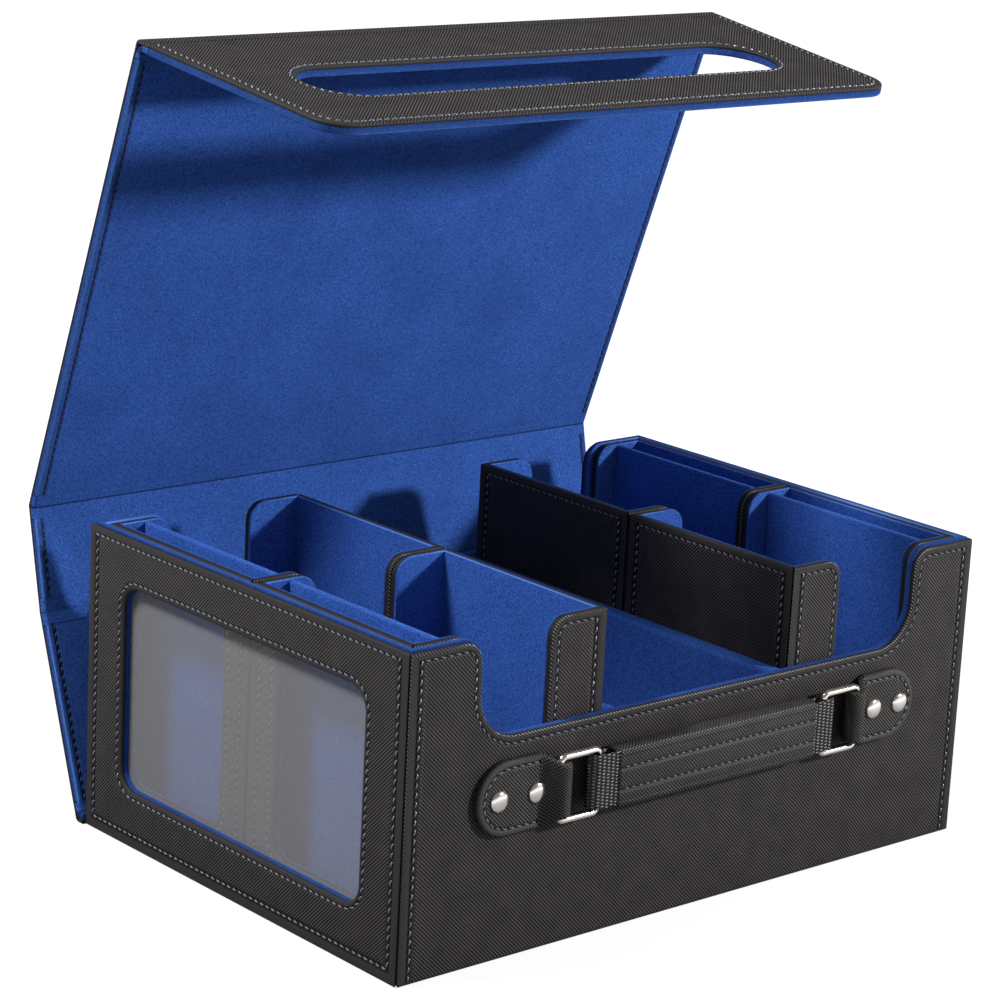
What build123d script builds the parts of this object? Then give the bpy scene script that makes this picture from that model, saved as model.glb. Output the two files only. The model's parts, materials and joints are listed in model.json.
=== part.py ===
from build123d import *
import os
from math import asin, cos, degrees, radians, sin

# Card storage box: a leather-covered tub with four lift-out trays, a carrying handle on its front wall
# and a folding cover. Millimetres, +Z up, origin on the table under the middle of the tub, front at -Y.

# Tub, measured over its leather
tub_width = 300.0
tub_depth = 203.0
tub_height = 128.5

# Covered boards: leather outside, board within, suede lining inside
wall_leather_depth = 1.9
wall_lining_depth = 3.1
sheet = 1.0
edge_wrap = 1.2
wall = wall_leather_depth + wall_lining_depth

# Wide dips in the top edges of the front and rear walls, between a post at each corner
dip_post = 35.0
dip_above_handle = 23.3
dip_low_radius = 18.0
dip_top_radius = 8.5
dip_width = tub_width - 2 * dip_post
dip_low_share = 0.6
dip_top_share = 0.3

# Clear windows in the side walls, in a frame of leather
window_side = 24.5
window_sill = 23.5
window_top = 20.6
window_radius = 9.0
film = 0.6
film_set_back = 0.3
window_length = tub_depth - 2 * window_side
window_height = tub_height - window_sill - window_top

# Low dividers of the middle lane
lane_width = 80.6
divider = 8.7
divider_height = 82.0

# Lift-out trays
tray_clearance = 0.5
tray_drop = 0.2
tray_shell = 2.6
tray_lining = 1.4
tray_dip_width = 39.4
tray_dip_depth = 57.0
tray_dip_low_radius = 14.0
tray_dip_top_radius = 8.0
tray_window_margin = 17.0
tray_window_radius = 8.0
pocket_slot = 10.2
pocket_panel = 3.0
pocket_drop = 0.6

# Folding cover, at the angles at which it stands open; angles are measured back from upright
cover_leather_depth = 1.6
cover_lining_depth = 3.0
cover_overhang = 1.4
cover_gap = 0.5
fold_gap = 0.3
crease_below_lid = 44.0
back_lower_angle = 19.9
back_upper_angle = 12.1
lid_angle = -19.5
flap_angle = -98.4
flap_above_table = 16.3
flap_taper = 5.0
flap_corner_radius = 14.0
slot_end_clearance = 2.8
slot_side_clearance = 4.2
slot_rise = 2.3
cover = cover_leather_depth + cover_lining_depth
cover_width = tub_width + 2 * cover_overhang

# Hidden magnets of the flap and the steel plates they meet in the front wall
magnet_length = 20.0
magnet_width = 12.0
magnet_thickness = 1.5
magnet_spread = 150.0

# Carrying handle on the front wall, its middle this high above the table
handle_height = 65.0
grip_length = 106.0
grip_width = 24.0
grip_thickness = 9.0
grip_leather = 1.5
grip_edge_radius = 4.0
grip_stand_off = 1.0
grip_travel = 5.0
wire = 3.0
ring_bar_spacing = 18.8
ring_opening = 22.0
ring_corner_radius = 2.2
webbing = 1.6
webbing_reach = 7.7
loop_clearance = 0.3
loop_slack = 1.1
tab_length = 37.7
tab_width = 29.6
tab_thickness = 3.0
tab_loop_leather = 2.7
tab_shoulder = 8.0
rivets_left = (-107.0, -88.4)
rivets_right = (93.2, 108.4)
rivet_head = 8.4
rivet_head_height = 1.6
rivet_edge_radius = 1.2
rivet_shank = 3.2
rivet_back_head = 7.2
rivet_back_height = 0.8
dip_depth = tub_height - handle_height - dip_above_handle
bar_stand_off = grip_stand_off + grip_thickness / 2
inner_bar = grip_length / 2 + webbing_reach
outer_bar = inner_bar + ring_bar_spacing
tab_end = outer_bar + tab_length

# Frames of the tub's walls: x along the wall, y up, z out of the leather
FRONT = Plane((0, -tub_depth / 2, 0), x_dir=(1, 0, 0), z_dir=(0, -1, 0))
REAR = Plane((0, tub_depth / 2, 0), x_dir=(-1, 0, 0), z_dir=(0, 1, 0))
LEFT = Plane((-tub_width / 2, 0, 0), x_dir=(0, -1, 0), z_dir=(-1, 0, 0))
RIGHT = Plane((tub_width / 2, 0, 0), x_dir=(0, 1, 0), z_dir=(1, 0, 0))
BASE = Plane((0, 0, 0), x_dir=(1, 0, 0), z_dir=(0, 0, -1))

# Two corners closer than this are the same
same_place = 0.001

nodes = {}


def slab(outline, low, high):
    """The outline as a plate between two heights of its own frame."""
    return Pos(0, 0, low) * extrude(outline, amount=high - low, dir=(0, 0, 1))


def block(low, high):
    """A box between two corners."""
    size = [b - a for a, b in zip(low, high)]
    corner = Box(*size, align=(Align.MIN, Align.MIN, Align.MIN))
    return Pos(*low) * corner


def standing(width, height):
    """A rectangle that stands on the x axis."""
    return Rectangle(width, height, align=(Align.CENTER, Align.MIN))


def dip_tool(width, depth, low_radius, top_radius):
    """The cut for a dip in an edge at y = 0, with the round shoulders that it leaves."""
    shape = Pos(0, -depth) * standing(width, depth)
    shape += standing(width + 4 * top_radius, top_radius)
    low = shape.vertices().filter_by(lambda v: abs(v.Y + depth) < same_place)
    shape = fillet(low, min(low_radius, dip_low_share * depth))
    inner = width / 2 + same_place
    shoulders = shape.vertices().filter_by(lambda v: abs(v.Y) < same_place and abs(v.X) < inner)
    return fillet(shoulders, min(top_radius, dip_top_share * depth))


def covered_board(outline, leather_depth, lining_depth):
    """Leather, board and lining of one panel; the leather's face is z = 0 and the lining's is below it."""
    depth = leather_depth + lining_depth
    core = offset(outline, amount=-edge_wrap, kind=Kind.INTERSECTION)
    board = slab(core, sheet - depth, -sheet)
    leather = slab(outline, -leather_depth, 0) - board
    lining = slab(outline, -depth, -leather_depth) - board
    return leather, board, lining


def mitre(length):
    """The space of a wall whose two upright ends are mitred."""
    ends = [(-length / 2, 0), (length / 2, 0), (length / 2 - wall, -wall), (wall - length / 2, -wall)]
    plan = Plane.XZ * make_face(Polyline(*ends, close=True))
    return extrude(plan, amount=tub_height, dir=(0, 1, 0))


def tub_wall(name, frame, length, outline):
    """Add one mitred wall of the tub as three nodes."""
    space = mitre(length)
    layers = covered_board(outline, wall_leather_depth, wall_lining_depth)
    for layer, piece in zip(("leather", "board", "lining"), layers):
        nodes[f"{name}_{layer}"] = frame * (piece & space)


# Tub walls and floor
long_wall = standing(tub_width, tub_height)
long_wall -= Pos(0, tub_height) * dip_tool(dip_width, dip_depth, dip_low_radius, dip_top_radius)
window = RectangleRounded(window_length, window_height, window_radius)
window = Pos(0, window_sill + window_height / 2) * window
side_wall = standing(tub_depth, tub_height) - window
tub_wall("front_wall", FRONT, tub_width, long_wall)
tub_wall("rear_wall", REAR, tub_width, long_wall)
tub_wall("left_wall", LEFT, tub_depth, side_wall)
tub_wall("right_wall", RIGHT, tub_depth, side_wall)
floor_outline = Rectangle(tub_width - 2 * wall, tub_depth - 2 * wall)
floor_layers = covered_board(floor_outline, wall_leather_depth, wall_lining_depth)
for layer, piece in zip(("leather", "board", "lining"), floor_layers):
    nodes[f"floor_{layer}"] = BASE * piece

# Window films, set into the lining's side of their openings
pane = slab(window, film_set_back - wall, film_set_back + film - wall)
nodes["left_window_film"] = LEFT * pane
nodes["right_window_film"] = RIGHT * pane

# Low dividers, from wall to wall on the floor
for name, centre in (("left", -1), ("right", 1)):
    middle = centre * (lane_width + divider) / 2
    low = (middle - divider / 2, wall - tub_depth / 2, wall)
    high = (middle + divider / 2, tub_depth / 2 - wall, wall + divider_height)
    nodes[f"{name}_lane_divider"] = block(low, high)

# One tray, in the left front place
tray_outer = wall + tray_clearance - tub_width / 2
tray_inner = -(lane_width / 2 + divider + tray_clearance)
tray_front = wall + tray_clearance - tub_depth / 2
tray_rear = -tray_clearance / 2
tray_top = tub_height - tray_drop
tray_middle = (tray_outer + tray_inner) / 2
tray_wall = tray_shell + tray_lining
tray_step = tray_rear - tray_front + tray_clearance


def tray_space(inset, floor):
    """The room inside the tray's walls at a depth into them, open at the top."""
    low = (tray_outer + inset, tray_front + inset, wall + floor)
    high = (tray_inner - inset, tray_rear - inset, tray_top + tray_wall)
    return block(low, high)


tray_dip = dip_tool(tray_dip_width, tray_dip_depth, tray_dip_low_radius, tray_dip_top_radius)
end_plane = Plane((tray_middle, tray_front, tray_top), x_dir=(1, 0, 0), z_dir=(0, -1, 0))
dips = end_plane * slab(tray_dip, tray_front - tray_rear, 0)
tray_window_length = tray_rear - tray_front - 2 * tray_window_margin
tray_window = RectangleRounded(tray_window_length, window_height, tray_window_radius)
window_middle = (tray_outer, (tray_front + tray_rear) / 2, window_sill + window_height / 2)
side_plane = Plane(window_middle, x_dir=(0, -1, 0), z_dir=(-1, 0, 0))
tray_opening = side_plane * slab(tray_window, -tray_wall, 0)
tray_body = block((tray_outer, tray_front, wall), (tray_inner, tray_rear, tray_top))
liner_space = tray_space(tray_shell, tray_shell)
inside = tray_space(tray_wall, tray_wall)
shell = tray_body - liner_space - dips - tray_opening
liner = (tray_body & liner_space) - inside - dips - tray_opening
panel_face = tray_outer + tray_wall + pocket_slot
panel_low = (panel_face, tray_front + tray_wall, wall + tray_wall)
panel_high = (panel_face + pocket_panel, tray_rear - tray_wall, tray_top - pocket_drop)
tray_pieces = {"shell": shell, "lining": liner, "pocket_panel": block(panel_low, panel_high)}

# The right trays are left ones turned half round
tray_places = {
    "left_front": Pos(0, 0, 0),
    "left_rear": Pos(0, tray_step, 0),
    "right_rear": Rot(0, 0, 180),
    "right_front": Rot(0, 0, 180) * Pos(0, tray_step, 0),
}
for place, move in tray_places.items():
    for name, piece in tray_pieces.items():
        nodes[f"{place}_tray_{name}"] = move * piece


# Cover: hinge lines and panels, each panel starting just clear of the fold that it turns about
back_height = tub_height + cover_gap
crease_height = back_height - crease_below_lid
lid_length = tub_depth + 2 * cover_gap + cover
panel_start = cover / 2 + fold_gap


def along(point, lean, distance):
    """The point at a distance up a panel that leans back from upright."""
    return point[0] + distance * sin(radians(lean)), point[1] + distance * cos(radians(lean))


base_hinge = (tub_depth / 2 + cover_gap + cover / 2, cover / 2)
crease_hinge = along(base_hinge, back_lower_angle, crease_height)
lid_hinge = along(crease_hinge, back_upper_angle, crease_below_lid)
flap_hinge = along(lid_hinge, lid_angle, lid_length)


def panel_frame(hinge, lean):
    """A cover panel's frame: y up the panel from its hinge line, z out of the leather."""
    out = (0, cos(radians(lean)), -sin(radians(lean)))
    origin = Vector(0, *hinge) + Vector(*out) * (cover / 2)
    return Plane(origin, x_dir=(-1, 0, 0), z_dir=out)


def strip(length):
    """A panel's outline, from its fold to the next hinge line."""
    return Pos(0, panel_start) * standing(cover_width, length - panel_start)


def round_fold(reach):
    """The soft round fold at the end of a panel, on the next hinge line."""
    section = Pos(reach, -cover / 2) * Circle(cover / 2)
    section -= Pos(reach - cover / 2, -cover / 2) * Rectangle(cover, cover)
    return extrude(Plane.YZ * section, amount=cover_width / 2, both=True)


def cover_panel(name, frame, layers):
    """Add a panel of the cover as three nodes."""
    for layer, piece in zip(("leather", "board", "lining"), layers):
        nodes[f"{name}_{layer}"] = frame * piece


back_lower_frame = panel_frame(base_hinge, back_lower_angle)
back_upper_frame = panel_frame(crease_hinge, back_upper_angle)
lid_frame = panel_frame(lid_hinge, lid_angle)
flap_frame = panel_frame(flap_hinge, flap_angle)
cover_depths = (cover_leather_depth, cover_lining_depth)
cover_panel("back_lower", back_lower_frame, covered_board(strip(crease_height), *cover_depths))
cover_panel("back_upper", back_upper_frame, covered_board(strip(crease_below_lid), *cover_depths))
cover_panel("lid", lid_frame, covered_board(strip(lid_length), *cover_depths))

# The lowest fold reaches back from the foot of the rear wall
foot = Pos(tub_depth / 2, 0) * Rectangle(cover_gap + cover / 2, cover, align=(Align.MIN, Align.MIN))
foot += Pos(*base_hinge) * Circle(cover / 2)
nodes["base_fold"] = extrude(Plane.YZ * foot, amount=cover_width / 2, both=True)
nodes["crease_fold"] = back_lower_frame * round_fold(crease_height)
nodes["lid_fold"] = back_upper_frame * round_fold(crease_below_lid)
nodes["flap_fold"] = lid_frame * round_fold(lid_length)

# Front flap with the long slot that the handle comes through
flap_length = back_height + cover / 2 - flap_above_table
slot_centre = back_height + cover / 2 - handle_height - slot_rise
slot_length = 2 * (tab_end + slot_end_clearance)
slot_width = tab_width + 2 * slot_side_clearance
half = cover_width / 2
free_half = half - flap_taper
flap_corners = [(-half, panel_start), (half, panel_start)]
flap_corners += [(free_half, flap_length), (-free_half, flap_length)]
flap_outline = make_face(Polyline(*flap_corners, close=True))
free_corners = flap_outline.vertices().filter_by(lambda v: abs(v.Y - flap_length) < same_place)
flap_outline = fillet(free_corners, flap_corner_radius)
flap_outline -= Pos(0, slot_centre) * SlotOverall(slot_length, slot_width)
flap_leather, flap_board, flap_lining = covered_board(flap_outline, *cover_depths)

# Magnets behind the flap's lining, and steel plates behind the front wall's leather where they come to lie
magnet_from_hinge = (slot_centre + slot_width / 2 + flap_length) / 2
plate_height = back_height + cover / 2 - magnet_from_hinge
magnet_outline = Rectangle(magnet_length, magnet_width)
magnet = slab(magnet_outline, sheet - cover, sheet - cover + magnet_thickness)
plate = slab(magnet_outline, -sheet - magnet_thickness, -sheet)
sides = (-magnet_spread / 2, magnet_spread / 2)
magnets = Part() + [Pos(x, magnet_from_hinge) * magnet for x in sides]
plates = Part() + [Pos(x, plate_height) * plate for x in sides]
cover_panel("flap", flap_frame, (flap_leather, flap_board - magnets, flap_lining))
nodes["flap_magnets"] = flap_frame * magnets
nodes["front_wall_plates"] = FRONT * plates
nodes["front_wall_board"] -= nodes["front_wall_plates"]

# Handle, worked out from the middle of the grip to the right and mirrored to the left;
# in these plans x runs along the wall from the middle of the handle and y out from the wall
eye = wire / 2 + loop_clearance
band = ring_opening - 2 * loop_clearance
HANDLE = Plane((0, -tub_depth / 2, handle_height), x_dir=(1, 0, 0), z_dir=(0, -1, 0))
PLAN = Plane((0, -tub_depth / 2, handle_height), x_dir=(1, 0, 0), z_dir=(0, 0, -1))


def in_plan(section, width):
    """A plan of the handle as a solid, centred on the handle's height."""
    return extrude(PLAN * section, amount=width / 2, both=True)


def pair(name, piece):
    """Add a right-hand piece of the handle and its mirror image."""
    nodes[f"right_{name}"] = piece
    nodes[f"left_{name}"] = mirror(piece, about=Plane.YZ)


# Rivets through the tabs, the leather and the board, with their inner heads under the lining
head_disc = Cylinder(rivet_head / 2, rivet_head_height, align=(Align.CENTER, Align.CENTER, Align.MIN))
head = fillet(head_disc.edges().sort_by(Axis.Z)[-1:], rivet_edge_radius)
shank_length = tab_thickness + wall - sheet
shank = Pos(0, 0, -shank_length) * Cylinder(
    rivet_shank / 2, shank_length, align=(Align.CENTER, Align.CENTER, Align.MIN))
back_head = Pos(0, 0, -shank_length) * Cylinder(
    rivet_back_head / 2, rivet_back_height, align=(Align.CENTER, Align.CENTER, Align.MIN))
rivet = Pos(0, 0, tab_thickness) * (head + shank + back_head)
rivets = Part() + [HANDLE * Pos(x, 0, 0) * rivet for x in rivets_left + rivets_right]
nodes["handle_rivets"] = rivets
nodes["front_wall_leather"] -= rivets
nodes["front_wall_board"] -= rivets

# Tabs: a round-ended strap flat on the wall, folded round the outer bar of its ring
barrel = eye + tab_loop_leather
shoulder = outer_bar + tab_shoulder
tab_plan = [(shoulder, 0), (shoulder, tab_thickness)]
tab_plan += [(outer_bar, bar_stand_off + barrel), (outer_bar, bar_stand_off - barrel)]
tab_loop = make_face(Polyline(*tab_plan, close=True)) + Pos(outer_bar, bar_stand_off) * Circle(barrel)
tab_loop -= Pos(outer_bar, bar_stand_off) * Circle(eye)
tab_round = tab_width / 2
tab_face = Pos(tab_end - tab_round, 0) * Circle(tab_round)
tab_points = [(tab_end - tab_round, tab_round), (shoulder, tab_round), (outer_bar + barrel, band / 2)]
tab_points += [(x, -y) for x, y in reversed(tab_points)]
tab_face += make_face(Polyline(*tab_points, close=True))
tab = HANDLE * slab(tab_face, 0, tab_thickness) + in_plan(tab_loop, band)
pair("handle_tab", tab)
for name in ("left_handle_tab", "right_handle_tab"):
    nodes[name] -= rivets

# Rings: bent wire between tab and webbing
ring_middle = (inner_bar + outer_bar) / 2
ring_frame = HANDLE * Pos(ring_middle, 0, bar_stand_off)
ring_path = RectangleRounded(ring_bar_spacing, ring_opening + wire, ring_corner_radius).wire()
ring_section = Plane(ring_path @ 0, z_dir=ring_path % 0) * Circle(wire / 2)
pair("handle_ring", ring_frame * sweep(ring_section, path=ring_path))

# Webbing loops, with slack for the bar as the ring swings out
loop_end = inner_bar + loop_slack
grip_end = grip_length / 2


def loop_outline(radius):
    """A loop from the grip's end round the inner bar."""
    straight = loop_end - grip_end
    run = Pos(grip_end, bar_stand_off) * Rectangle(straight, 2 * radius, align=(Align.MIN, Align.CENTER))
    return run + Pos(loop_end, bar_stand_off) * Circle(radius)


pair("webbing_loop", in_plan(loop_outline(eye + webbing) - loop_outline(eye), band))

# Grip: a padded core in a leather sleeve
sleeve_section = RectangleRounded(grip_thickness, grip_width, grip_edge_radius)
core_section = RectangleRounded(
    grip_thickness - 2 * grip_leather, grip_width - 2 * grip_leather, grip_edge_radius - grip_leather)
GRIP = Plane((0, -tub_depth / 2 - bar_stand_off, handle_height), x_dir=(0, 1, 0), z_dir=(1, 0, 0))
grip_core = extrude(GRIP * core_section, amount=grip_length / 2, both=True)
grip_body = extrude(GRIP * sleeve_section, amount=grip_length / 2, both=True)
nodes["grip_core"] = grip_core
nodes["grip_sleeve"] = grip_body - grip_core

os.makedirs("parts", exist_ok=True)
for name, piece in nodes.items():
    export_step(piece, f"parts/{name}.step")

# Joint places and ranges
ring_swing = degrees(asin(grip_travel / ring_bar_spacing))
print("hinges (y, z): base", base_hinge, "crease", crease_hinge, "lid", lid_hinge, "flap", flap_hinge)
print("lid shuts", 90 - (back_upper_angle - lid_angle), "opens", back_upper_angle - lid_angle)
print("flap shuts", 90 - (lid_angle - flap_angle), "opens", lid_angle - flap_angle)
print("ring bar x", outer_bar, "y", -tub_depth / 2 - bar_stand_off, "swing", ring_swing)
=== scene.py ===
import json
import math

import bmesh
import bpy
from mathutils import Matrix, Vector
from mathutils.geometry import tessellate_polygon


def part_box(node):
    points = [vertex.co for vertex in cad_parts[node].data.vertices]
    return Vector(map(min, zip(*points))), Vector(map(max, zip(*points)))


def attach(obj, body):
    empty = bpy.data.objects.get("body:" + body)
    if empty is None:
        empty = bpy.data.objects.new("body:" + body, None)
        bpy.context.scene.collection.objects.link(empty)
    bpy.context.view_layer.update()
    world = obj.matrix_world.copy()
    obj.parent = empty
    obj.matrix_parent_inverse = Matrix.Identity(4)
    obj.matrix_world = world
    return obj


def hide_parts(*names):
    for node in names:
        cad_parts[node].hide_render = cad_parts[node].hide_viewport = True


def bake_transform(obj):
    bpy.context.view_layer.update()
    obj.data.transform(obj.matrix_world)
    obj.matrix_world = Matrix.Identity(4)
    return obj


# Card storage box in black grained leather with a blue suede lining.
# Sizes are in millimetres; points go into Blender in metres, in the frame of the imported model.

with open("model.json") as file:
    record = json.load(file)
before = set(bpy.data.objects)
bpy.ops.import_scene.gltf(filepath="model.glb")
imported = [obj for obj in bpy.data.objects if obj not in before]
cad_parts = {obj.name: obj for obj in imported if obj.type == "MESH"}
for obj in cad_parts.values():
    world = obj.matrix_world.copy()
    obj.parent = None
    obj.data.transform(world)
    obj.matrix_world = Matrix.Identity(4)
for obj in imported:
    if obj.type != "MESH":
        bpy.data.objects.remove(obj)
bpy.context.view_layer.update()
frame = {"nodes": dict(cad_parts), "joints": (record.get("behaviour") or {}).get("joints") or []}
MM = 0.001
# Millimetres to one unit of a piece's grain chart
GRAIN_UNIT = 10.0

# Turned edges of leather and lining, and the boards in their pockets
EDGE_WRAP = 1.2
SHEET = 1.0
LEATHER_ROLL = 1.3
LEATHER_FOOT = 0.5
COVER_ROLL = 1.0
COVER_FOOT = 0.4
LINING_ROLL = 1.1
LINING_FOOT = 0.4
TRAY_ROLL = 1.1
TRAY_LINING_ROLL = 0.6
TRAY_FOOT = 0.3
BORDER_CROWN = 0.12
BORDER_WIDEN = 2.2
BORDER_END = 0.6
GROOVE_WIDTH = 1.6
GROOVE_DEPTH = 0.32
CORNER_GAP = 0.5
UNSEWN_WIDEN = 0.03
UNSEWN_INSET = 0.8
ARC_STEPS = 6
FOOT_STEPS = 2
SHARP_ANGLE = math.radians(40)

# Tones along an edge: 1 is a painted highlight, -1 painted shade, and leather at the smooth tone has no
# ribs
EDGE_SHADE = 0.8
LINING_SHADE = 0.35
SHADE_POWER = 8
# Painted shade of the dark line where a sheet meets the next layer
FOOT_SHADE_TONE = -0.6
SMOOTH_TONE = -0.3

# How far the leather stays below the lining along the walls' tops
FRONT_DROP = 1.0
SIDE_DROP = 0.7
DROP_FADE = 12.0

# Stitching
STITCH_PITCH = 3.55
STITCH_LENGTH = 2.7
STITCH_RADIUS = 0.37
STITCH_SIDES = 6
STITCH_SLANT = -0.24
# Places along half a thread, with its thickness and lift there as shares of its radius
STITCH_PROFILE = (
    (-0.78, 0.7, -0.75), (-0.4, 0.95, -0.2), (0.0, 1.0, 0.0), (0.4, 0.95, -0.2), (0.78, 0.7, -0.75))
STITCH_DIVE = 1.4
# The flap's inside lies close to the front wall when it is shut, so its thread is pulled in deeper
FLAP_THREAD = -0.32
EDGE_STITCH = 3.3
WINDOW_STITCH = 2.6
SLOT_STITCH = 2.2
TAB_STITCH = 3.0

# Folds of the cover: how far the panels stop before and after a hinge line
FOLD_BEFORE = 5.0
FOLD_AFTER = 6.0
FOLD_STRAIGHT = 4
FOLD_BEND = 8
FOLD_LEATHER = 1.6
FOLD_LINING = 2.9
FOLD_HOLLOW = 1.5
FOLD_LAP = 0.5
# Tone of the painted shade along a fold's bend
FOLD_CREASE_SHADE = -0.9
HAIRLINE = 0.03
# How far past its hinge line a panel of the CAD model begins
PANEL_GAP = 2.6

# How nearly alike directions, levels and places have to be to count as the same
FLAT_UP = 0.999
FACING = 0.9995
STRAIGHT_ON = 0.05
SAME_LEVEL = 0.05
SAME_PLACE = 0.01


def box_mm(node):
    """Lowest and highest corner of a CAD node, in millimetres."""
    low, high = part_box(node)
    return low / MM, high / MM


def hinge_line(joint):
    """(y, z) of a joint's axis, in millimetres."""
    found = [j for j in frame["joints"] if j["name"] == joint][0]
    return Vector(found["pos_m"]).yz / MM


# Flat shapes


class Face:
    """A plane with outlines on it: u to the side, v up, the material to the left of each outline."""

    def __init__(self, normal, level, loops):
        self.normal = Vector(normal).normalized()
        upright = Vector((0, 0, 1))
        if abs(self.normal.z) > FLAT_UP:
            upright = Vector((0, 1, 0))
        self.up = (upright - self.normal * upright.dot(self.normal)).normalized()
        self.side = self.up.cross(self.normal)
        self.level = level
        self.loops = loops

    def flat(self, point):
        """A point in metres as (u, v) in millimetres."""
        return round(point.dot(self.side) / MM, 3), round(point.dot(self.up) / MM, 3)

    def place(self, spot, height):
        """The point over (u, v) at a height above the face, in millimetres."""
        return self.side * spot[0] + self.up * spot[1] + self.normal * (self.level + height)

    def extent(self):
        """Least and greatest u and v of the outer outline."""
        across = [p.x for p in self.loops[0]]
        up = [p.y for p in self.loops[0]]
        return min(across), max(across), min(up), max(up)


def legs(loop):
    """Each point of a closed outline with the one after it."""
    return zip(loop, loop[1:] + loop[:1])


def area(loop):
    """Signed area of an outline."""
    return sum(a.cross(b) for a, b in legs(loop)) / 2


def cad_face(node, normal, near=False, least_area=200.0):
    """The outermost flat face of a CAD node that looks along the normal, or the innermost one."""
    face = Face(normal, 0.0, [])
    mesh = frame["nodes"][node].data
    facing = [p for p in mesh.polygons if p.normal.dot(face.normal) > FACING]
    levels = [p.center.dot(face.normal) / MM for p in facing]
    face.level = min(levels) if near else max(levels)
    edges = set()
    for polygon, level in zip(facing, levels):
        if abs(level - face.level) > SAME_LEVEL:
            continue
        corners = [face.flat(mesh.vertices[i].co) for i in polygon.vertices]
        for a, b in legs(corners):
            if (b, a) in edges:
                edges.remove((b, a))
            else:
                edges.add((a, b))
    follow = dict(edges)
    while follow:
        start, here = follow.popitem()
        loop = [start]
        while here != start:
            loop.append(here)
            here = follow.pop(here)
        loop = [Vector(p) for p in loop]
        if abs(area(loop)) > least_area:
            face.loops.append(loop)
    face.loops.sort(key=area, reverse=True)
    return face


def offset_loop(loop, distances):
    """The outline moved to its left, each edge by its own distance."""
    moved = []
    for i, here in enumerate(loop):
        before = (here - loop[i - 1]).normalized()
        after = (loop[(i + 1) % len(loop)] - here).normalized()
        first = Vector((-before.y, before.x))
        second = Vector((-after.y, after.x))
        turn = first.cross(second)
        near, far = distances[i - 1], distances[i]
        if abs(turn) < STRAIGHT_ON:
            step = (first + second).normalized() * (near + far) / 2
        else:
            step = Vector((near * second.y - far * first.y, far * first.x - near * second.x)) / turn
        moved.append(here + step)
    return moved


# Edges of panels


class Edge:
    """How one edge of a panel takes a ring's inset and height."""

    def __init__(self, shift=0.0, widen=1.0, corner=0, square=None, sewn=True, painted_light=1.0):
        self.shift = shift
        self.widen = widen
        self.corner = corner
        self.square = square
        self.sewn = sewn
        # Share of the painted highlight on this edge's roll; below 0 the roll takes painted shade instead.
        self.painted_light = painted_light

    def reach(self, inset, height):
        """How far inside the outline a ring lies."""
        if self.square is not None:
            return self.square
        if self.corner < 0:
            return min(height, 0.0)
        beyond = max(inset - LEATHER_ROLL, 0.0)
        inset = inset - beyond + beyond * self.widen + self.shift
        if self.corner > 0:
            return max(inset, CORNER_GAP - height)
        return inset


# Edge kinds also set the painted light on their rolls, from a full painted highlight (1) through none (0)
# to painted shade (below 0).
ROLLED = Edge()
UNHIGHLIGHTED = Edge(painted_light=0.0)
HALF_HIGHLIGHTED = Edge(painted_light=0.55)
SHADED = Edge(painted_light=-0.5)
FRONT_TOP = Edge(shift=FRONT_DROP)
SIDE_TOP = Edge(shift=SIDE_DROP, painted_light=0.0)
FOOTED = Edge(widen=BORDER_WIDEN, painted_light=0.0)
UNSEWN = Edge(widen=UNSEWN_WIDEN, sewn=False, painted_light=0.0)
MITRED = Edge(widen=BORDER_WIDEN, corner=1, painted_light=0.0)
MITRED_IN = Edge(corner=-1)


def cut_back(distance):
    """A square end that stops short of the outline."""
    return Edge(square=distance, sewn=False)


def always(edge):
    """The same kind of edge all round."""
    return lambda a, b: edge


def eased(top, drop):
    """Edges next to a lowered top, which come back to the outline little by little."""

    def edge(a, b):
        share = 1.0 - (top - (a.y + b.y) / 2) / DROP_FADE
        return Edge(shift=drop * max(share, 0.0))

    return edge


def by_side(face, left=ROLLED, right=ROLLED, bottom=ROLLED, top=ROLLED, other=always(ROLLED)):
    """A rule that tells the straight sides of a panel's outline apart."""
    u_low, u_high, v_low, v_high = face.extent()
    sides = ((0, u_low, left), (0, u_high, right), (1, v_low, bottom), (1, v_high, top))

    def rule(a, b):
        for axis, value, edge in sides:
            if abs(a[axis] - value) < SAME_PLACE and abs(b[axis] - value) < SAME_PLACE:
                return edge
        return other(a, b)

    return rule


def turned_edge(depth, roll, foot, pocket=True, stitch=None, shade=EDGE_SHADE):
    """Rings of (inset, height, tone) of a sheet turned over an edge, from its back up to its face.

    The tone is 1 for a painted highlight on an edge and -1 for painted shade."""
    rings = []
    # The back and foot rings carry painted shade, a dark line where the sheet meets the next layer.
    if pocket:
        rings += [(EDGE_WRAP, -SHEET, -1), (EDGE_WRAP, -depth, -1)]
    else:
        rings += [(2 * foot, -depth, -1)]
    for i in range(FOOT_STEPS + 1):
        turn = math.pi / 2 * i / FOOT_STEPS
        rings.append((foot - foot * math.sin(turn), foot - depth - foot * math.cos(turn), FOOT_SHADE_TONE))
    # Along the roll: painted shade where it begins and a painted highlight on its crown.
    for i in range(ARC_STEPS + 1):
        turn = math.pi / 2 * i / ARC_STEPS
        tone = math.sin(2 * turn) - shade * math.cos(turn) ** SHADE_POWER
        rings.append((roll - roll * math.cos(turn), roll * math.sin(turn) - roll, tone))
    if stitch:
        half = GROOVE_WIDTH / 2
        rings.append(((roll + stitch - half) / 2, BORDER_CROWN, SMOOTH_TONE))
        rings.append((stitch - half, 0.0, SMOOTH_TONE))
        # The stitch groove carries painted shade.
        rings.append((stitch - half / 2, -GROOVE_DEPTH, -1))
        rings.append((stitch + half / 2, -GROOVE_DEPTH, -1))
        rings.append((stitch + half, 0.0, 0))
    rings.append((rings[-1][0] + BORDER_END, 0.0, 0))
    return rings


# Meshes


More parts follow.
